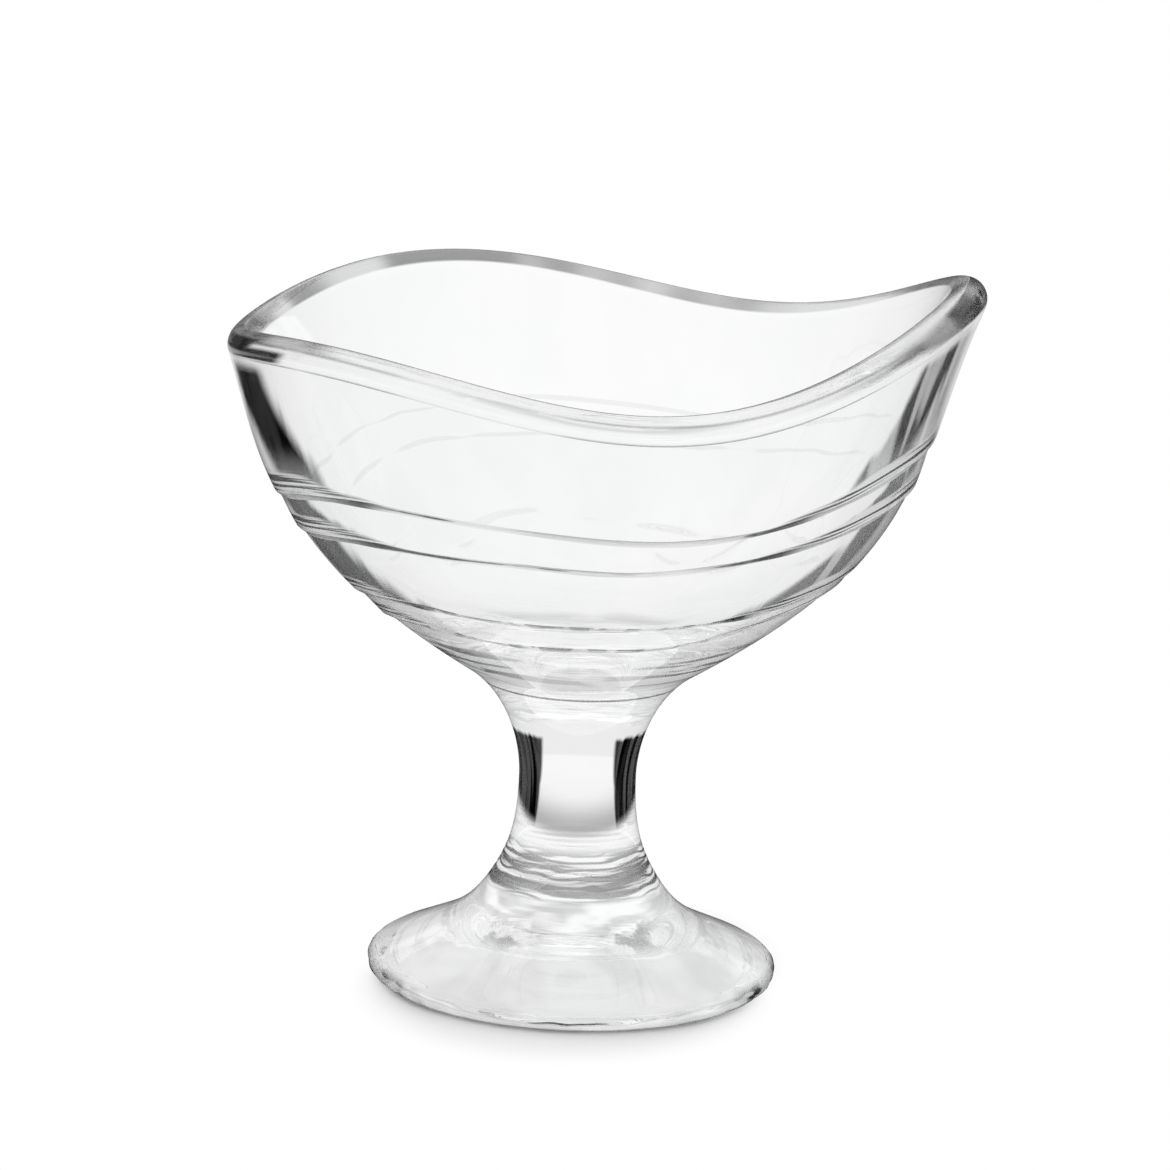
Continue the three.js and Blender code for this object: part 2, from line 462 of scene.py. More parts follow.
def outside_wall(share):
    return bezier(
        Vector((STEM_TOP_RADIUS, 0)),
        Vector((BOWL_BASE_SWEEP * STEM_TOP_SLOPE, BOWL_BASE_SWEEP)),
        Vector((BOWL_LIP_SWEEP * BOWL_LIP_SLOPE, BOWL_LIP_SWEEP)),
        Vector((BOWL_RADIUS, CREST_HEIGHT)),
        share,
    )


def inside_wall(share):
    return bezier(
        Vector((0, BOWL_FLOOR_THICKNESS)),
        Vector((BOWL_FLOOR_SWEEP, 0)),
        Vector((BOWL_INSIDE_SWEEP * BOWL_INSIDE_SLOPE, BOWL_INSIDE_SWEEP)),
        INSIDE_TOP,
        share,
    )


def outside_point(height, offset):
    """A point of the outside wall, pushed out along the wall's normal."""
    share = share_at_height(outside_wall, height)
    along = (outside_wall(share + TANGENT_STEP) - outside_wall(share - TANGENT_STEP)).normalized()
    return outside_wall(share) + Vector((along.y, -along.x)) * offset


def bowl_stations(angle, end_height):
    """Heights and offsets on the outside wall between which it runs straight or steps out, in turn."""
    stations = [(0, 0)]
    for terrace in TERRACES:
        mean = terrace[0]
        wander = ripple(TERRACE_WANDER_PITCH, angle, mean, TERRACE_WANDER_PITCH / 2)
        height = line_height(terrace, angle) + TERRACE_WANDER * wander
        uneven = ripple(BOWL_RADIUS, angle, mean, TERRACE_WANDER_PITCH)
        depth = TERRACE_DEPTH * (1 + TERRACE_UNEVEN * uneven)
        stations.append((height - TERRACE_RISE / 2, -depth / 2))
        stations.append((height + TERRACE_RISE / 2, depth / 2))
    stations.append((end_height, 0))
    return stations


def bowl_section(angle):
    """The bowl at one angle: terraced outside wall, half-round lip and smooth inside wall."""
    rim_height = line_height(RIM, angle)
    half_lean = LIP_THICKNESS / 2 * math.sin(LIP_LEAN)
    stations = bowl_stations(angle, rim_height - half_lean)
    section = [outside_point(0, 0)]
    for index in range(len(stations) - 1):
        on_step = index % 2
        start_height, start_offset = stations[index]
        end_height, end_offset = stations[index + 1]
        for share in shares(STEP_ROWS if on_step else WALL_ROWS)[1:]:
            height = lerp(start_height, end_height, share)
            offset = lerp(start_offset, end_offset, ease(share) if on_step else share)
            section.append(outside_point(height, offset))
    outside_end = section[-1]
    inside_share = share_at_height(inside_wall, rim_height + half_lean)
    inside_end = inside_wall(inside_share)
    middle = (outside_end + inside_end) / 2
    across = (outside_end - inside_end) / 2
    up = Vector((-across.y, across.x))
    for row in range(1, LIP_ROWS):
        turn = math.pi * row / LIP_ROWS
        section.append(middle + across * math.cos(turn) + up * math.sin(turn))
    for row in range(INSIDE_ROWS + 1):
        section.append(inside_wall(inside_share * (1 - row / INSIDE_ROWS)))
    return section


def bowl_marks():
    """Five marks for each row of the bowl's section, which place painted shade: the painted tone of
    the glass there, the height within its band from 0 to 1, how dark the painted shade at the edge
    of that band grows, how near the row is to the terrace below it, and how far it is round the lip."""
    levels = [0] + [terrace[0] for terrace in TERRACES] + [RIM[0]]
    top_band = len(TERRACES)
    marks = [(STEP_TONE, 0, 0, 0, 0)]
    for index in range(2 * top_band + 1):
        on_step = index % 2
        band = index // 2
        for share in shares(STEP_ROWS if on_step else WALL_ROWS)[1:]:
            tone = 1
            if on_step:
                height = lerp(1, BAND_LOWS[band + 1], share)
                fan = 1
                if share < 1:
                    tone = lerp(STEP_TONE, LINE_TONE, share**LINE_SHARPNESS)
            else:
                height = lerp(BAND_LOWS[band], 1, share)
                rise = share * (levels[band + 1] - levels[band])
                fan = max(0, 1 - rise / FAN_HEIGHT)
            edge = BAND_EDGES[band]
            if band == top_band:
                edge *= 1 - step_up(height, *TOP_EDGE_FADE)
            marks.append((tone, height, edge, fan if band else 0, 0))
    marks[-1] = (LINE_TONE, 1, 0, 0, 0)
    for row in range(1, LIP_ROWS):
        turn = row / LIP_ROWS
        outer = step_up(turn, *LIP_SHADE_START) * (1 - step_up(turn, *LIP_SHADE_END))
        inward = step_up(turn, *LIP_INWARD)
        tone = LIP_LINE_TONE if row == LIP_LINE_ROW else lerp(1, RIM_TONE, inward)
        marks.append((tone, 1, lerp(outer, INWARD_SHADE, inward), 0, turn))
    marks += [INSIDE_MARK] * (INSIDE_ROWS + 1)
    return marks


def loft(name, section_at, base_height, open_start, open_end, marks=()):
    """A closed mesh from the sections around the axis. A start or end that is off the axis is closed
    by a flat disc in the second material, which joins it to its neighbour."""
    sections = [section_at(2 * math.pi * column / AROUND) for column in range(AROUND)]
    rings = [ring for ring in range(len(sections[0])) if sections[0][ring].x > ON_AXIS]
    points = []
    for ring in rings:
        for column in range(AROUND):
            angle = 2 * math.pi * column / AROUND
            radius, height = sections[column][ring]
            points.append(
                (
                    radius * math.cos(angle) * MM,
                    radius * math.sin(angle) * MM,
                    (height + base_height) * MM,
                )
            )
    first, last = sections[0][rings[0]], sections[0][rings[-1]]
    start_pole = len(points)
    points.append((0, 0, ((first.y if open_start else sections[0][0].y) + base_height) * MM))
    points.append((0, 0, ((last.y if open_end else sections[0][-1].y) + base_height) * MM))
    faces = []
    slots = []
    top = (len(rings) - 1) * AROUND
    for column in range(AROUND):
        after = (column + 1) % AROUND
        faces.append((start_pole, after, column))
        slots.append(1 if open_start else 0)
        for ring in range(len(rings) - 1):
            low = ring * AROUND
            high = low + AROUND
            faces.append((low + column, low + after, high + after, high + column))
            slots.append(0)
        faces.append((start_pole + 1, top + column, top + after))
        slots.append(1 if open_end else 0)
    mesh = bpy.data.meshes.new(name)
    mesh.from_pydata(points, [], faces)
    mesh.polygons.foreach_set("material_index", slots)
    mesh.polygons.foreach_set("use_smooth", [True] * len(faces))
    joint_rings = ([0] if open_start else []) + ([top] if open_end else [])
    for edge in mesh.edges:
        for ring in joint_rings:
            edge.use_edge_sharp |= all(ring <= vertex < ring + AROUND for vertex in edge.vertices)
    for index, mark_name in enumerate(MARKS if marks else ()):
        values = [marks[ring][index] for ring in rings for _ in range(AROUND)]
        layer = mesh.attributes.new(mark_name, "FLOAT", "POINT")
        layer.data.foreach_set("value", values + [marks[0][index], marks[-1][index]])
    mesh.validate()
    piece = bpy.data.objects.new(name, mesh)
    bpy.context.scene.collection.objects.link(piece)
    return piece


def metres(lengths):
    return [length * MM for length in lengths]


def node(tree, kind, **settings):
    made = tree.nodes.new(kind)
    for key, value in settings.items():
        setattr(made, key, value)
    return made


def feed(tree, socket, value):
    """Sets a socket to a number or colour, or links it to another node's output."""
    if isinstance(value, bpy.types.NodeSocket):
        tree.links.new(value, socket)
    else:
        socket.default_value = value


def maths(tree, operation, *values):
    made = node(tree, "ShaderNodeMath", operation=operation)
    for socket, value in zip(made.inputs, values):
        feed(tree, socket, value)
    return made.outputs[0]


def vector_maths(tree, operation, *values):
    made = node(tree, "ShaderNodeVectorMath", operation=operation)
    for socket, value in zip(made.inputs, values):
        feed(tree, socket, value)
    return made.outputs["Vector"]


def length_of(tree, vector):
    """The length in millimetres of a vector in metres."""
    made = node(tree, "ShaderNodeVectorMath", operation="LENGTH")
    feed(tree, made.inputs[0], vector)
    return maths(tree, "DIVIDE", made.outputs["Value"], MM)


def ramp(tree, value, low, high, at_low=0.0, at_high=1.0):
    """Goes smoothly from one value to another while its input goes from low to high."""
    made = node(tree, "ShaderNodeMapRange", interpolation_type="SMOOTHSTEP")
    for name, setting in (
        ("Value", value),
        ("From Min", low),
        ("From Max", high),
        ("To Min", at_low),
        ("To Max", at_high),
    ):
        feed(tree, made.inputs[name], setting)
    return made.outputs[0]


def between(tree, share, ends):
    """Goes smoothly from one end to the other while a share goes from 0 to 1."""
    return ramp(tree, share, 0, 1, *ends)


def within(tree, value, opening, closing):
    """Rises from 0 to 1 over the opening range and falls to 0 again over the closing range."""
    return maths(tree, "MULTIPLY", ramp(tree, value, *opening), ramp(tree, value, *closing, 1, 0))


def mixed(tree, share, start, end):
    made = node(tree, "ShaderNodeMix", data_type="RGBA")
    feed(tree, made.inputs["Factor"], share)
    feed(tree, made.inputs[6], start)
    feed(tree, made.inputs[7], end)
    return made.outputs[2]


def noisy(tree, place, scale, **settings):
    """Noise at a place; further settings go to the sockets of their names."""
    made = node(tree, "ShaderNodeTexNoise")
    feed(tree, made.inputs["Vector"], place)
    feed(tree, made.inputs["Scale"], scale)
    for name, value in settings.items():
        feed(tree, made.inputs[name], value)
    return made.outputs[0]


def grey(level):
    return (level, level, level, 1)


def mark(tree, name):
    return node(tree, "ShaderNodeAttribute", attribute_name=name).outputs["Fac"]


def part_of(tree, vector, axis):
    made = node(tree, "ShaderNodeSeparateXYZ")
    feed(tree, made.inputs[0], vector)
    return made.outputs[axis]


def object_place(tree):
    return node(tree, "ShaderNodeTexCoord").outputs["Object"]


def surface_normal(tree):
    return node(tree, "ShaderNodeNewGeometry").outputs["Normal"]


def levelled(tree, vector):
    """A vector's direction once its upward part is taken out."""
    return vector_maths(tree, "NORMALIZE", vector_maths(tree, "MULTIPLY", vector, (1, 1, 0)))


def streaks(tree, rise, pattern):
    """Streaks from 0 to 1 around the axis, drawn out along the rise."""
    around, along, detail = pattern
    outward = levelled(tree, object_place(tree))
    spread = vector_maths(tree, "MULTIPLY", outward, (around, around, 0))
    climb = node(tree, "ShaderNodeCombineXYZ")
    feed(tree, climb.inputs["Z"], maths(tree, "MULTIPLY", rise, along))
    spot = vector_maths(tree, "ADD", spread, climb.outputs[0])
    return ramp(tree, noisy(tree, spot, 1, Detail=detail), *STREAK_RANGE)


def rise_of(tree):
    """Height above the table in metres."""
    return part_of(tree, object_place(tree), "Z")


def on_crest_side(tree):
    """0 on the low side of the bowl and 1 on the side of the rim's crest."""
    return ramp(tree, part_of(tree, object_place(tree), "X"), 0, CREST_REACH * BOWL_RADIUS * MM)


def going_in(tree, tone):
    """The painted shade where light goes into the glass, and clear where it meets the surface from
    inside. The shader takes the root of its colour at each surface, so the tone is squared."""
    inside = node(tree, "ShaderNodeNewGeometry").outputs["Backfacing"]
    squared = maths(tree, "POWER", tone, 2)
    return maths(tree, "MAXIMUM", squared, inside)


def facing(tree):
    """How far the surface turns away, 0 face on and 1 edge on."""
    return node(tree, "ShaderNodeLayerWeight").outputs["Facing"]


def facing_level(tree):
    """How far the surface turns away to the side, whatever its slant."""
    weight = node(tree, "ShaderNodeLayerWeight")
    feed(tree, weight.inputs["Normal"], levelled(tree, surface_normal(tree)))
    return weight.outputs["Facing"]


def slant(tree):
    """The upward part of the surface's normal."""
    return part_of(tree, surface_normal(tree), "Z")


def crescents(tree, rise, crest_side):
    """How dark the painted shade of each band grows where the wall turns away: a core, a softer
    fringe on its inner side and a thinner outer edge, all streaked."""
    height = mark(tree, "band_height")
    centre = between(tree, height, CRESCENT_CENTRE)
    wobble = between(tree, streaks(tree, rise, CRESCENT_WAVES), CRESCENT_WOBBLE)
    past = maths(tree, "ADD", maths(tree, "SUBTRACT", facing(tree), centre), wobble)
    core_start = between(tree, crest_side, CORE_START)
    core = ramp(tree, past, core_start, between(tree, crest_side, CORE_FULL))
    fringe_full = between(tree, crest_side, FRINGE_FULL)
    fringe_dark = between(tree, crest_side, FRINGE_DARK)
    fringe = ramp(tree, past, FRINGE_START, fringe_full, 0, fringe_dark)
    thinning = maths(tree, "SUBTRACT", past, between(tree, crest_side, THINNING_START))
    thinned = between(tree, crest_side, THINNED_DARK)
    outer = ramp(tree, thinning, 0, THINNING_WIDTH, 1, thinned)
    crescent = maths(tree, "MULTIPLY", maths(tree, "MAXIMUM", core, fringe), outer)
    lower = ramp(tree, height, *CRESCENT_FOOT, CRESCENT_FOOT_DARK, 1)
    streak = streaks(tree, rise, CRESCENT_STREAKS)
    weakest = between(tree, crest_side, CRESCENT_WEAKEST)
    streaked = maths(tree, "MULTIPLY", lower, ramp(tree, streak, 0, CRESCENT_STREAK_FULL, weakest, 1))
    strength = maths(tree, "MULTIPLY", mark(tree, "edge"), streaked)
    return maths(tree, "MULTIPLY", crescent, strength)


def fanned(tree, dark, level_turn, crest_side):
    """The dark painted shade with a fan of fine painted stripes over it where a band runs out above
    its terrace.
    """
    fan = mark(tree, "fan")
    stripes = ramp(tree, streaks(tree, fan, FAN_STREAKS), *STRIPE_RANGE, *STRIPE_DARK)
    sideways = maths(tree, "MULTIPLY", level_turn, FAN_SIDE_GAIN)
    widening = maths(tree, "ADD", sideways, maths(tree, "MULTIPLY", crest_side, FAN_CREST_GAIN))
    reach = maths(tree, "ADD", maths(tree, "MULTIPLY", fan, FAN_NEAR_GAIN), widening)
    shown = maths(tree, "MULTIPLY", ramp(tree, reach, *FAN_REACH), ramp(tree, fan, *FAN_FADE))
    return mixed(tree, shown, dark, stripes)


def lip_crown(tree, rise, lip_turn, level_turn, crest_side):
    """How dark the painted shade on the crown of the lip grows towards the sides."""
    earlier = maths(tree, "ADD", level_turn, maths(tree, "MULTIPLY", crest_side, CROWN_CREST_LEAD))
    sideways = ramp(tree, earlier, *CROWN_SIDE, 0, between(tree, crest_side, CROWN_DARK))
    crest_start = ramp(tree, level_turn, *CROWN_TURN, *CROWN_CREST_START)
    start = between(tree, crest_side, (CROWN_LOW_START, crest_start))
    above_front = ramp(tree, maths(tree, "SUBTRACT", lip_turn, start), 0, CROWN_WIDTH)
    crown = maths(tree, "MULTIPLY", above_front, ramp(tree, lip_turn, *LIP_INWARD, 1, 0))
    crown = maths(tree, "MULTIPLY", crown, sideways)
    # Streaks in the painted shade of the crown
    sheen = between(tree, streaks(tree, rise, SHEEN_STREAKS), CROWN_SHEEN)
    return maths(tree, "MULTIPLY", crown, sheen)


def low_lip_front(tree, lip_turn, level_turn, crest_side):
    """How dark the painted shade on the front of the lip is at its low end."""
    at_front = within(tree, lip_turn, LIP_FRONT_START, LIP_FRONT_END)
    turned = maths(tree, "SUBTRACT", level_turn, crest_side)
    return maths(tree, "MULTIPLY", at_front, ramp(tree, turned, *LOW_END_TURN, 0, LOW_END_DARK))


def base_strokes(tree, rise, lip_turn, level_turn):
    """How dark the uneven painted strokes of shade are round the outside of the bowl's base."""
    at_base = within(tree, rise, metres(STROKES_START), metres(STROKES_END))
    at_base = maths(tree, "MULTIPLY", at_base, ramp(tree, lip_turn, *STROKES_OUTSIDE, 1, 0))
    strokes = ramp(tree, streaks(tree, rise, BASE_STREAKS), *STROKE_RANGE)
    shown = maths(tree, "MULTIPLY", strokes, at_base)
    return maths(tree, "MULTIPLY", shown, ramp(tree, level_turn, *STROKE_TURN, *STROKE_DARK))


def terrace_lines(tree, rise):
    """The tone of the thin painted dark lines on the terraces, uneven above and dashed lower down."""
    uneven = between(tree, streaks(tree, rise, LINE_SHADE_STREAKS), LINE_SHADE_POWERS)
    dashed = ramp(tree, streaks(tree, rise, DASH_STREAKS), *DASH_RANGE, *DASH_POWERS)
    low_down = ramp(tree, rise, *metres(DASHES_FADE), 1, 0)
    return maths(tree, "POWER", mark(tree, "tone"), mixed(tree, low_down, uneven, dashed))


def bowl_tone(tree):
    """Painted shade on the bowl: crescents with fans at its sides, a grey rim, strokes round the base
    and thin lines on the terraces."""
    rise = rise_of(tree)
    crest_side = on_crest_side(tree)
    level_turn = facing_level(tree)
    lip_turn = mark(tree, "lip_turn")
    dark = fanned(tree, crescents(tree, rise, crest_side), level_turn, crest_side)
    for shade in (
        lip_crown(tree, rise, lip_turn, level_turn, crest_side),
        low_lip_front(tree, lip_turn, level_turn, crest_side),
        base_strokes(tree, rise, lip_turn, level_turn),
    ):
        dark = maths(tree, "MAXIMUM", dark, shade)
    clear = maths(tree, "SUBTRACT", 1, dark)
    return going_in(tree, maths(tree, "MULTIPLY", clear, terrace_lines(tree, rise)))


def stem_bands(tree, rise, turned):
    """How dark the streaked band of painted shade is down each side of the waist, and the cup that
    closes the two.
    """
    lean = slant(tree)
    streak = streaks(tree, rise, STEM_STREAKS)
    leaning = maths(tree, "MULTIPLY", lean, STEM_BAND_LEAN)
    side = ramp(tree, maths(tree, "SUBTRACT", turned, leaning), *STEM_BAND_SIDE)
    ragged = maths(tree, "MULTIPLY", streak, STEM_BAND_RAGGED)
    above = ramp(tree, maths(tree, "ADD", lean, ragged), *STEM_BAND_TOP)
    flare = maths(tree, "ADD", lean, maths(tree, "MULTIPLY", turned, STEM_BAND_FLARE))
    below = ramp(tree, flare, *STEM_BAND_BOTTOM, 1, 0)
    sides = maths(tree, "MULTIPLY", side, between(tree, streak, STEM_BAND_DARK))
    bands = maths(tree, "MULTIPLY", sides, maths(tree, "MULTIPLY", above, below))
    cup = maths(tree, "MULTIPLY", ramp(tree, flare, *CUP_REACH, 0, CUP_DARK), below)
    return maths(tree, "MAXIMUM", bands, cup)


def stem_rings(tree, rise, turned):
    """How dark the uneven, broken painted rings of shade are round the bottom of the stem."""
    ringed = within(tree, rise, metres(RINGS_START), metres(RINGS_END))
    wander = maths(tree, "MULTIPLY", streaks(tree, rise, RING_WANDER_STREAKS), RING_WANDER_TURN)
    turns = maths(tree, "MULTIPLY", rise, 2 * math.pi / (RING_LINE_PITCH * MM))
    lines = ramp(tree, maths(tree, "SINE", maths(tree, "ADD", turns, wander)), 0, RING_LINE_FULL)
    broken = ramp(tree, streaks(tree, rise, RING_BREAK_STREAKS), *RING_BREAK_RANGE)
    rings = maths(tree, "MULTIPLY", maths(tree, "MAXIMUM", lines, broken), ringed)
    return maths(tree, "MULTIPLY", rings, between(tree, turned, RING_DARK))


def stem_tone(tree):
    """Painted shade on the stem: dark bands at the waist, rings at the bottom and a thin line at the
    neck.
    """
    rise = rise_of(tree)
    turned = facing_level(tree)
    past_bands = maths(tree, "SUBTRACT", 1, stem_bands(tree, rise, turned))
    past_rings = maths(tree, "SUBTRACT", 1, stem_rings(tree, rise, turned))
    from_line = maths(tree, "ABSOLUTE", maths(tree, "SUBTRACT", rise, NECK_LINE_HEIGHT * MM))
    neck_line = ramp(tree, from_line, *metres(NECK_LINE_WIDTH), NECK_LINE_TONE, 1)
    clear = maths(tree, "MULTIPLY", past_bands, past_rings)
    return going_in(tree, maths(tree, "MULTIPLY", clear, neck_line))


def foot_tone(tree):
    """Painted shade on the foot: uneven grey on its rounded edge, darker where it turns away to the
    sides, and a crumpled patch on each side of the stem, where the hollow's crown shows through."""
    turned = facing_level(tree)
    rise = rise_of(tree)
    blotches = ramp(tree, streaks(tree, rise, BLOTCH_STREAKS), *BLOTCH_RANGE, *BLOTCH_DARK)
    side = ramp(tree, turned, *FOOT_SIDE_TURN, *FOOT_SIDE_DARK)
    edge_dark = maths(tree, "MULTIPLY", maths(tree, "MULTIPLY", blotches, side), mark(tree, "edge"))
    beside = within(tree, turned, PATCH_TURN_START, PATCH_TURN_END)
    at_crown = within(tree, rise, metres(PATCH_START), metres(PATCH_END))
    crumple = ramp(tree, streaks(tree, rise, CRUMPLE_STREAKS), *CRUMPLE_RANGE, 0, CRUMPLE_DARK)
    patch_dark = maths(tree, "MULTIPLY", crumple, maths(tree, "MULTIPLY", beside, at_crown))
    clear = maths(tree, "SUBTRACT", 1, maths(tree, "MAXIMUM", edge_dark, patch_dark))
    clouded = between(tree, streaks(tree, rise, CLOUD_STREAKS), FOOT_CLOUD_TONES)
    return going_in(tree, maths(tree, "MULTIPLY", clear, clouded))


def glass_material(name, tone_of):
    """Clear pressed glass with a faintly wavy surface, uneven gloss, a breath of grey-green and the
    painted shade of its tone.
    """
    material = bpy.data.materials.new(name)
    material.use_nodes = True
    tree = material.node_tree
    shader = tree.nodes["Principled BSDF"]
    shader.inputs["Transmission Weight"].default_value = 1
    shader.inputs["IOR"].default_value = GLASS_IOR
    place = object_place(tree)
    waves = noisy(tree, place, WAVE_SCALE, Detail=WAVE_DETAIL)
    clouds = noisy(tree, place, CLOUD_SCALE)
    tint = mixed(tree, ramp(tree, clouds, *TINT_RANGE), grey(1), GLASS_TINT)
    feed(tree, shader.inputs["Base Color"], vector_maths(tree, "MULTIPLY", tint, tone_of(tree)))
    feed(tree, shader.inputs["Roughness"], ramp(tree, clouds, *HAZE_RANGE, 0, HAZE))
    bump = node(tree, "ShaderNodeBump")
    feed(tree, bump.inputs["Height"], waves)
    feed(tree, bump.inputs["Distance"], WAVE_HEIGHT * MM)
    feed(tree, shader.inputs["Normal"], bump.outputs[0])
    return material


def joint_material():
    """The place where two pieces of the glass run into each other, with nothing to see."""
    material = bpy.data.materials.new("glass_joint")
    material.use_nodes = True
    tree = material.node_tree
    tree.nodes.clear()
    clear = node(tree, "ShaderNodeBsdfTransparent")
    output = node(tree, "ShaderNodeOutputMaterial")
    tree.links.new(clear.outputs[0], output.inputs["Surface"])
    return material


def make_glass():
    joint = joint_material()
    for name, piece, tone_of in (
        ("foot", loft("clear_foot", foot_section, 0, False, True, foot_marks()), foot_tone),
        ("stem", loft("clear_stem", stem_section, FOOT_HEIGHT, True, True), stem_tone),
        ("bowl", loft("clear_bowl", bowl_section, BOWL_BASE, True, False, bowl_marks()), bowl_tone),
    ):
        piece.data.materials.append(glass_material(name + "_glass", tone_of))
        piece.data.materials.append(joint)
        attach(piece, "root")
        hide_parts(name)


def through_tone(tree, path, clear_tone, side_tone, blend_tone, mirror_tone):
    """What a ray meets once it has left the glass: the clear tone if it went straight through, the
    tone of the studio's sides if the glass threw it back from inside, an even blend if it was thrown
    back many times, and the mirror tone if it never went in."""
    turned = maths(tree, "MINIMUM", path.outputs["Glossy Depth"], 1)
    entered = maths(tree, "MINIMUM", path.outputs["Transmission Depth"], 1)
    blended = maths(tree, "GREATER_THAN", path.outputs["Glossy Depth"], BLEND_AFTER + HALF_STEP)
    inner_tone = mixed(tree, blended, side_tone, blend_tone)
    return mixed(tree, turned, clear_tone, mixed(tree, entered, mirror_tone, inner_tone))


def from_glass(tree, path):
    """1 for a ray that comes to the eye by way of the glass."""
    met = maths(tree, "ADD", path.outputs["Transmission Depth"], path.outputs["Glossy Depth"])
    direct = maths(tree, "LESS_THAN", path.outputs["Diffuse Depth"], HALF_STEP)
    return maths(tree, "MULTIPLY", maths(tree, "MINIMUM", met, 1), direct)


def mixed_shaders(tree, share, start, end):
    made = node(tree, "ShaderNodeMixShader")
    feed(tree, made.inputs["Fac"], share)
    tree.links.new(start, made.inputs[1])
    tree.links.new(end, made.inputs[2])
    return made.outputs[0]


def past_contact_shadow(tree, place):
    """0 close round the foot and 1 past the contact shadow, an oval that is longer in front and
    behind than at the sides."""
    either_way = vector_maths(tree, "ABSOLUTE", place)
    squeeze = (SHADOW_SQUEEZE, 1, 0)
    shift = (0, -SHADOW_FORWARD * MM, 0)
    spread = vector_maths(tree, "MULTIPLY_ADD", either_way, squeeze, shift)
    return ramp(tree, length_of(tree, spread), *SHADOW_FADE)


def floor_through_glass(tree, path, place):
    """The floor's glow to a ray that comes by way of the glass, by its distance from the axis: painted
    light under the foot, a painted shadow round it and dark painted tones where it is mirrored.
    """
    distance = length_of(tree, place)
    under_foot = ramp(tree, distance, *NEAR_REACH, UNDER_TONE, NEAR_TONE)
    near_foot = mixed(tree, ramp(tree, distance, *BRIGHT_REACH), under_foot, grey(BRIGHT_TONE))
    open_floor = mixed(tree, ramp(tree, distance, *OPEN_REACH), near_foot, grey(FLOOR_WHITE))
    clear_tone = mixed(tree, ramp(tree, distance, *CLEAR_REACH), open_floor, grey(CLEAR_TONE))
    side_tone = ramp(tree, distance, *SIDE_REACH, FLOOR_WHITE, SIDE_TONE)
    mirror_far = ramp(tree, distance, *MIRROR_FAR_REACH, MIRROR_TONE, MIRROR_FAR_TONE)
    at_horizon = ramp(tree, distance, *HORIZON_REACH)
    mirror_tone = mixed(tree, at_horizon, mirror_far, grey(HORIZON_TONE))
    return through_tone(tree, path, clear_tone, side_tone, grey(BLEND_TONE), mirror_tone)


def floor_material():
    """A pale floor that keeps the glass's contact shadow, is white to the camera past it, and glows
    with its own painted tones of light and shadow to rays through the glass."""
    material = bpy.data.materials.new("pale_floor")
    material.use_nodes = True
    tree = material.node_tree
    shader = tree.nodes["Principled BSDF"]
    shader.inputs["Base Color"].default_value = grey(FLOOR_WHITE)
    shader.inputs["Roughness"].default_value = 1
    shader.inputs["Specular IOR Level"].default_value = 0
    shader.inputs["Emission Color"].default_value = grey(1)
    path = node(tree, "ShaderNodeLightPath")
    to_camera = path.outputs["Is Camera Ray"]
    feed(tree, shader.inputs["Emission Strength"], maths(tree, "MULTIPLY", to_camera, FLOOR_LIFT))
    place = node(tree, "ShaderNodeNewGeometry").outputs["Position"]
    white = node(tree, "ShaderNodeEmission")
    whitened = maths(tree, "MULTIPLY", past_contact_shadow(tree, place), to_camera)
    shaded = mixed_shaders(tree, whitened, shader.outputs[0], white.outputs[0])
    seen = node(tree, "ShaderNodeEmission")
    feed(tree, seen.inputs["Color"], floor_through_glass(tree, path, place))
    either = mixed_shaders(tree, from_glass(tree, path), shaded, seen.outputs[0])
    tree.links.new(either, tree.nodes["Material Output"].inputs["Surface"])
    return material


def make_floor():
    half = FLOOR_SIZE / 2 * MM
    mesh = bpy.data.meshes.new("studio_floor")
    corners = [(-half, -half, 0), (half, -half, 0), (half, half, 0), (-half, half, 0)]
    mesh.from_pydata(corners, [], [(0, 1, 2, 3)])
    mesh.materials.append(floor_material())
    floor = bpy.data.objects.new("studio_floor", mesh)
    floor.location.z = -FLOOR_GAP * MM
    bpy.context.scene.collection.objects.link(floor)


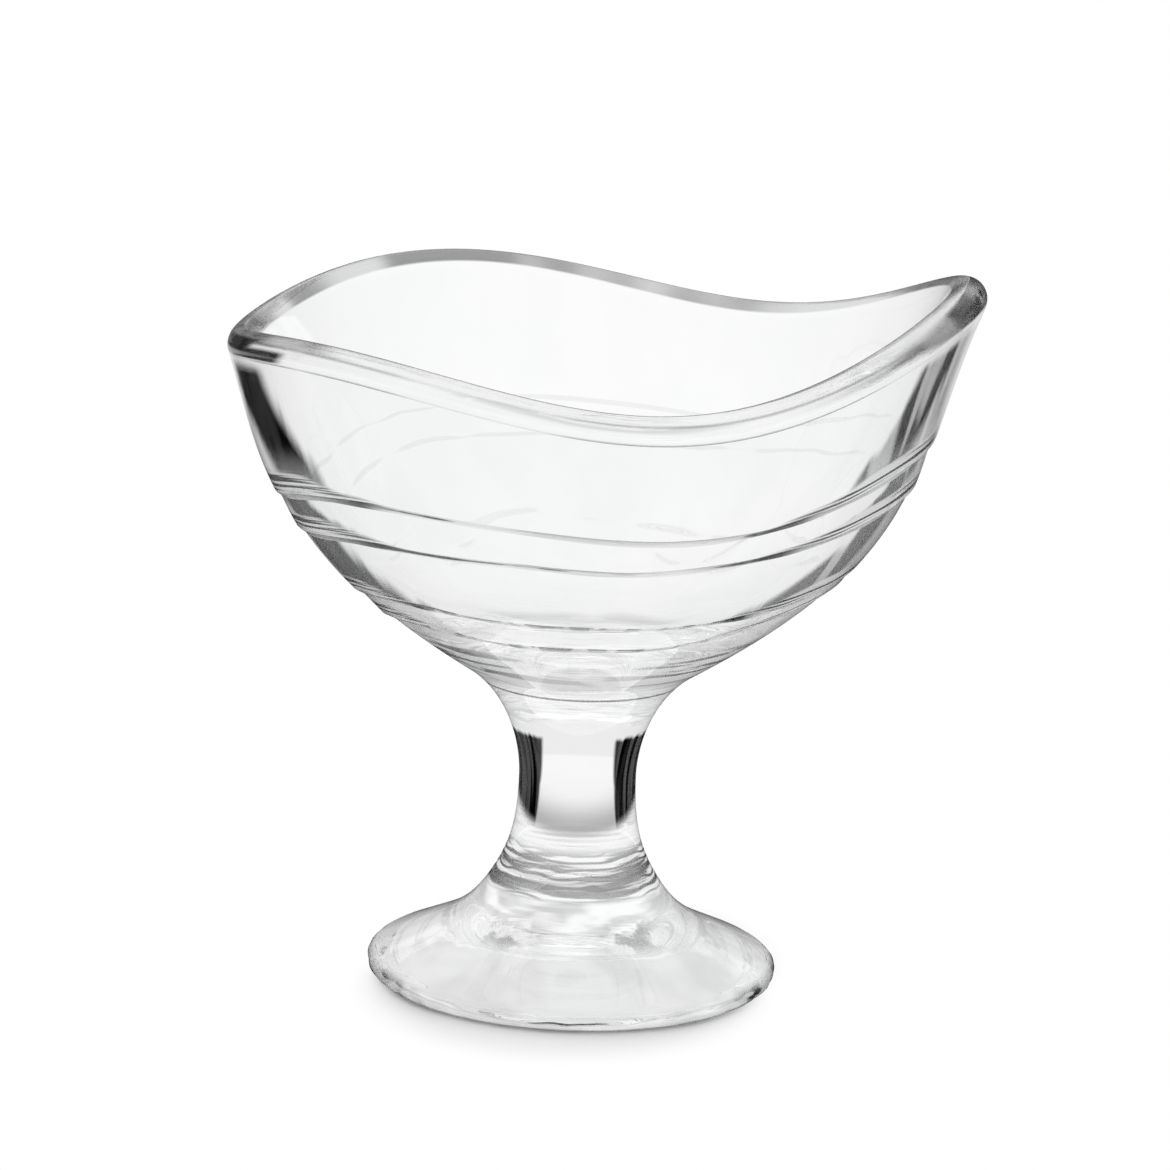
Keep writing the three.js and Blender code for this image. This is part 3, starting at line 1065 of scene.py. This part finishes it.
def make_world():
    """White all round, with its own tones to rays that come by way of the glass, and weakened where
    it has to pass the glass to light the floor, so that the glass keeps its shadow."""
    world = bpy.data.worlds.new("studio")
    bpy.context.scene.world = world
    world.use_nodes = True
    tree = world.node_tree
    background = tree.nodes["Background"]
    path = node(tree, "ShaderNodeLightPath")
    bounced = maths(tree, "MINIMUM", path.outputs["Diffuse Depth"], 1)
    weakened = maths(tree, "MULTIPLY", bounced, path.outputs["Is Transmission Ray"])
    open_tone = mixed(tree, weakened, grey(1), grey(SHADE_TONE))
    direction = node(tree, "ShaderNodeTexCoord").outputs["Generated"]
    side_tone = ramp(tree, noisy(tree, direction, SURROUND_SCALE), *SURROUND_RANGE, *SURROUND_TONES)
    upward = part_of(tree, direction, "Z")
    mirror_tone = ramp(tree, upward, *CEILING_RANGE, HORIZON_TONE, CEILING_TONE)
    glass_tone = through_tone(tree, path, grey(CLEAR_TONE), side_tone, side_tone, mirror_tone)
    seen = mixed(tree, from_glass(tree, path), open_tone, glass_tone)
    feed(tree, background.inputs["Color"], seen)
    background.inputs["Strength"].default_value = 1


def make_lamp():
    data = bpy.data.lights.new("overhead_softbox", "AREA")
    data.size = LAMP_SIZE * MM
    data.energy = LAMP_POWER
    lamp = bpy.data.objects.new("overhead_softbox", data)
    lamp.location = Vector(LAMP_PLACE) * MM
    lamp.rotation_euler = (-lamp.location).to_track_quat("-Z", "Y").to_euler()
    bpy.context.scene.collection.objects.link(lamp)


def make_camera():
    azimuth = math.radians(CAMERA_AZIMUTH)
    elevation = math.radians(CAMERA_ELEVATION)
    roll = math.radians(CAMERA_ROLL)
    back = Vector(
        (
            math.sin(azimuth) * math.cos(elevation),
            -math.cos(azimuth) * math.cos(elevation),
            math.sin(elevation),
        )
    )
    level = Vector((math.cos(azimuth), math.sin(azimuth), 0))
    upright = back.cross(level)
    right = level * math.cos(roll) + upright * math.sin(roll)
    up = upright * math.cos(roll) - level * math.sin(roll)
    sighted = Vector((0, 0, SIGHTED_HEIGHT))
    place = sighted + back * CAMERA_DISTANCE
    back = (place - (sighted + up * AIM_UP + right * AIM_RIGHT)).normalized()
    right = up.cross(back).normalized()
    up = back.cross(right)
    data = bpy.data.cameras.new("camera")
    data.lens = CAMERA_LENS
    data.sensor_width = CAMERA_SENSOR
    data.clip_start = CAMERA_CLIP_START
    data.clip_end = CAMERA_CLIP_END
    camera = bpy.data.objects.new("camera", data)
    turn = Matrix((right, up, back)).transposed().to_4x4()
    camera.matrix_world = Matrix.Translation(place * MM) @ turn
    bpy.context.scene.collection.objects.link(camera)
    bpy.context.scene.camera = camera


make_glass()
make_floor()
make_world()
make_lamp()
make_camera()

scene = bpy.context.scene
scene.view_settings.view_transform = "Standard"
scene.cycles.max_bounces = GLASS_BOUNCES
scene.cycles.transmission_bounces = GLASS_BOUNCES
scene.cycles.glossy_bounces = GLASS_BOUNCES
scene.cycles.transparent_max_bounces = JOINT_BOUNCES
